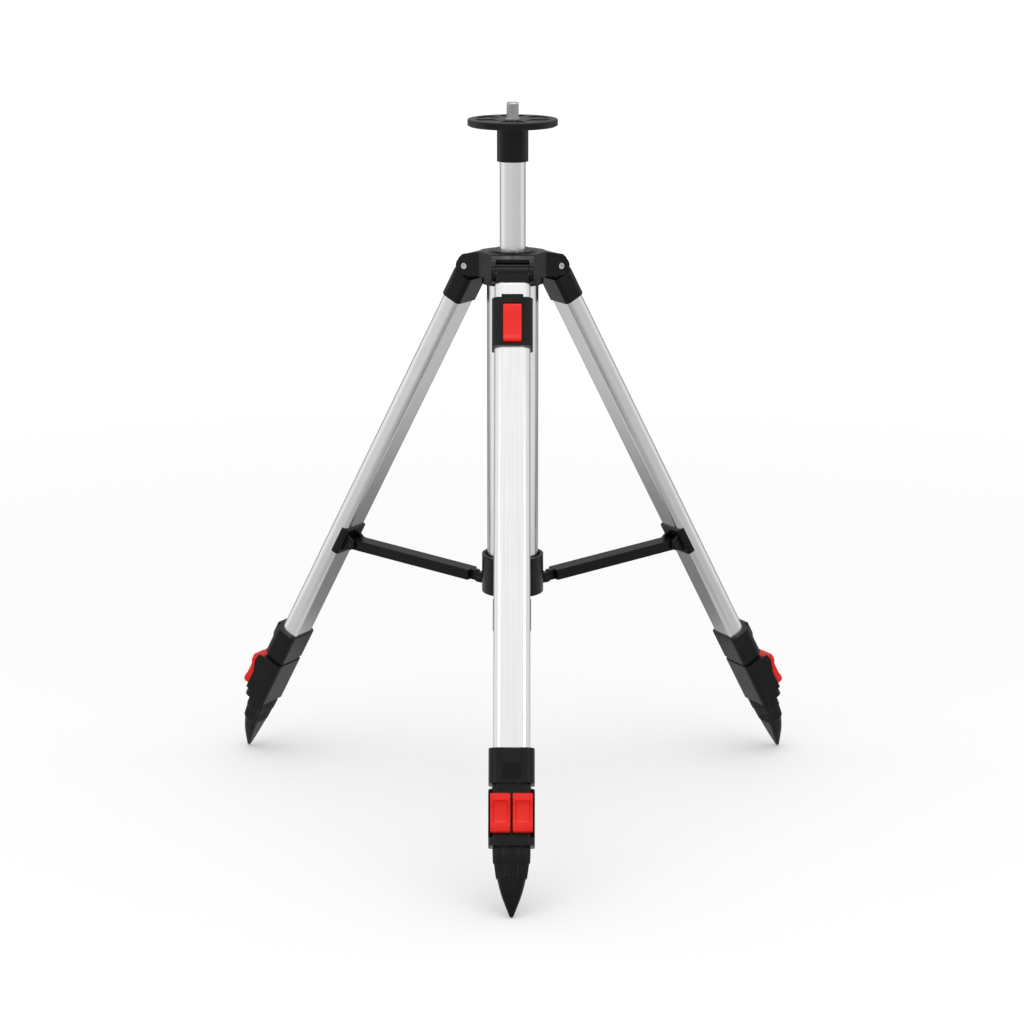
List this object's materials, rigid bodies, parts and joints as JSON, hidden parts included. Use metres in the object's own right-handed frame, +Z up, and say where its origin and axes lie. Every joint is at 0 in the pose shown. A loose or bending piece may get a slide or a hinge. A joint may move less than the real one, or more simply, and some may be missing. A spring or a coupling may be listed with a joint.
{
  "type": "construction tripod",
  "caption": "Elevating construction tripod: round platform with threaded stud on a sliding column, telescoping aluminium legs with black collars, red levers, pointed feet and spreader arms.",
  "frame": {"origin": "on the column's axis, in the plane of the platform's top face, at the root of the instrument stud", "axes": "+Z up along the column and out of the instrument stud; -Y towards the front leg, the one with the clamp band; +X to the right seen from the front"},
  "size_m": [0.7078, 0.6204, 0.8625],
  "materials": {
    "aluminium_tube": "satin anodised",
    "black_plastic": "satin moulded",
    "red_plastic": "smooth moulded",
    "steel_parts": "bright zinc"
  },
  "bodies": {
    "stand": {"head_hub": "black_plastic", "head_bush": "black_plastic", "guide_tube": "aluminium_tube", "spreader_hub": "black_plastic", "hub_pins": "steel_parts", "hinge_bolts": "steel_parts", "hinge_nuts": "steel_parts"},
    "column": {"column_tube": "aluminium_tube", "column_piston": "black_plastic", "platform_plate": "black_plastic", "platform_socket": "black_plastic", "instrument_stud": "steel_parts"},
    "leg_front": {"leg_cap_front": "black_plastic", "outer_tube_front": "aluminium_tube", "spreader_clip_front": "black_plastic", "clip_pin_front": "steel_parts", "upper_collar_front": "black_plastic", "clamp_band": "black_plastic", "clamp_pin": "steel_parts"},
    "middle_front": {"middle_tube_front": "aluminium_tube", "lock_housing_front": "black_plastic", "lever_pin_front": "steel_parts"},
    "inner_front": {"inner_tube_front": "aluminium_tube", "foot_front": "black_plastic"},
    "arm_front": {"spreader_arm_front": "black_plastic"},
    "lever_outer_front": {"lever_a_front": "red_plastic"},
    "lever_inner_front": {"lever_b_front": "red_plastic"},
    "leg_left": {"leg_cap_left": "black_plastic", "outer_tube_left": "aluminium_tube", "spreader_clip_left": "black_plastic", "clip_pin_left": "steel_parts", "upper_collar_left": "black_plastic"},
    "middle_left": {"middle_tube_left": "aluminium_tube", "lock_housing_left": "black_plastic", "lever_pin_left": "steel_parts"},
    "inner_left": {"inner_tube_left": "aluminium_tube", "foot_left": "black_plastic"},
    "arm_left": {"spreader_arm_left": "black_plastic"},
    "lever_outer_left": {"lever_a_left": "red_plastic"},
    "lever_inner_left": {"lever_b_left": "red_plastic"},
    "leg_right": {"leg_cap_right": "black_plastic", "outer_tube_right": "aluminium_tube", "spreader_clip_right": "black_plastic", "clip_pin_right": "steel_parts", "upper_collar_right": "black_plastic"},
    "middle_right": {"middle_tube_right": "aluminium_tube", "lock_housing_right": "black_plastic", "lever_pin_right": "steel_parts"},
    "inner_right": {"inner_tube_right": "aluminium_tube", "foot_right": "black_plastic"},
    "arm_right": {"spreader_arm_right": "black_plastic"},
    "lever_outer_right": {"lever_a_right": "red_plastic"},
    "lever_inner_right": {"lever_b_right": "red_plastic"},
    "clamp_lever_body": {"clamp_lever": "red_plastic"}
  },
  "joints": [
    {"name": "column_slide", "type": "slide", "parent": "stand", "child": "column", "axis": [0, 0, 1], "range_m": [-0.103, 0.25]},
    {"name": "leg_fold_front", "type": "hinge", "parent": "stand", "child": "leg_front", "pos_m": [0, -0.0534, -0.176], "axis": [1, 0, 0], "range_deg": [0, 27]},
    {"name": "arm_swing_front", "type": "hinge", "parent": "leg_front", "child": "arm_front", "pos_m": [0, -0.22966, -0.5457], "axis": [-1, 0, 0], "range_deg": [0, 112.88]},
    {"name": "middle_slide_front", "type": "slide", "parent": "leg_front", "child": "middle_front", "axis": [0, -0.4772, -0.8788], "range_m": [0, 0.4]},
    {"name": "inner_slide_front", "type": "slide", "parent": "middle_front", "child": "inner_front", "axis": [0, -0.4772, -0.8788], "range_m": [0, 0.4]},
    {"name": "lever_outer_front", "type": "hinge", "parent": "middle_front", "child": "lever_outer_front", "pos_m": [0, -0.36649, -0.71491], "axis": [-1, 0, 0], "range_deg": [0, 80]},
    {"name": "lever_inner_front", "type": "hinge", "parent": "middle_front", "child": "lever_inner_front", "pos_m": [0, -0.36649, -0.71491], "axis": [-1, 0, 0], "range_deg": [0, 80]},
    {"name": "leg_fold_left", "type": "hinge", "parent": "stand", "child": "leg_left", "pos_m": [-0.04625, 0.0267, -0.176], "axis": [-0.5, -0.866, 0], "range_deg": [0, 27]},
    {"name": "arm_swing_left", "type": "hinge", "parent": "leg_left", "child": "arm_left", "pos_m": [-0.19889, 0.11483, -0.5457], "axis": [0.5, 0.866, 0], "range_deg": [0, 112.88]},
    {"name": "middle_slide_left", "type": "slide", "parent": "leg_left", "child": "middle_left", "axis": [-0.4132, 0.2386, -0.8788], "range_m": [0, 0.4]},
    {"name": "inner_slide_left", "type": "slide", "parent": "middle_left", "child": "inner_left", "axis": [-0.4132, 0.2386, -0.8788], "range_m": [0, 0.4]},
    {"name": "lever_outer_left", "type": "hinge", "parent": "middle_left", "child": "lever_outer_left", "pos_m": [-0.31739, 0.18324, -0.71491], "axis": [0.5, 0.866, 0], "range_deg": [0, 80]},
    {"name": "lever_inner_left", "type": "hinge", "parent": "middle_left", "child": "lever_inner_left", "pos_m": [-0.31739, 0.18324, -0.71491], "axis": [0.5, 0.866, 0], "range_deg": [0, 80]},
    {"name": "leg_fold_right", "type": "hinge", "parent": "stand", "child": "leg_right", "pos_m": [0.04625, 0.0267, -0.176], "axis": [-0.5, 0.866, 0], "range_deg": [0, 27]},
    {"name": "arm_swing_right", "type": "hinge", "parent": "leg_right", "child": "arm_right", "pos_m": [0.19889, 0.11483, -0.5457], "axis": [0.5, -0.866, 0], "range_deg": [0, 112.88]},
    {"name": "middle_slide_right", "type": "slide", "parent": "leg_right", "child": "middle_right", "axis": [0.4132, 0.2386, -0.8788], "range_m": [0, 0.4]},
    {"name": "inner_slide_right", "type": "slide", "parent": "middle_right", "child": "inner_right", "axis": [0.4132, 0.2386, -0.8788], "range_m": [0, 0.4]},
    {"name": "lever_outer_right", "type": "hinge", "parent": "middle_right", "child": "lever_outer_right", "pos_m": [0.31739, 0.18324, -0.71491], "axis": [0.5, -0.866, 0], "range_deg": [0, 80]},
    {"name": "lever_inner_right", "type": "hinge", "parent": "middle_right", "child": "lever_inner_right", "pos_m": [0.31739, 0.18324, -0.71491], "axis": [0.5, -0.866, 0], "range_deg": [0, 80]},
    {"name": "clamp_lever_swing", "type": "hinge", "parent": "leg_front", "child": "clamp_lever_body", "pos_m": [0, -0.08827, -0.20941], "axis": [-1, 0, 0], "range_deg": [0, 60]}
  ],
  "couplings": [
    {"joint": "arm_swing_front", "follows": "leg_fold_front", "ratio": 4.1803},
    {"joint": "leg_fold_left", "follows": "leg_fold_front", "ratio": 1},
    {"joint": "arm_swing_left", "follows": "leg_fold_front", "ratio": 4.1803},
    {"joint": "leg_fold_right", "follows": "leg_fold_front", "ratio": 1},
    {"joint": "arm_swing_right", "follows": "leg_fold_front", "ratio": 4.1803}
  ]
}
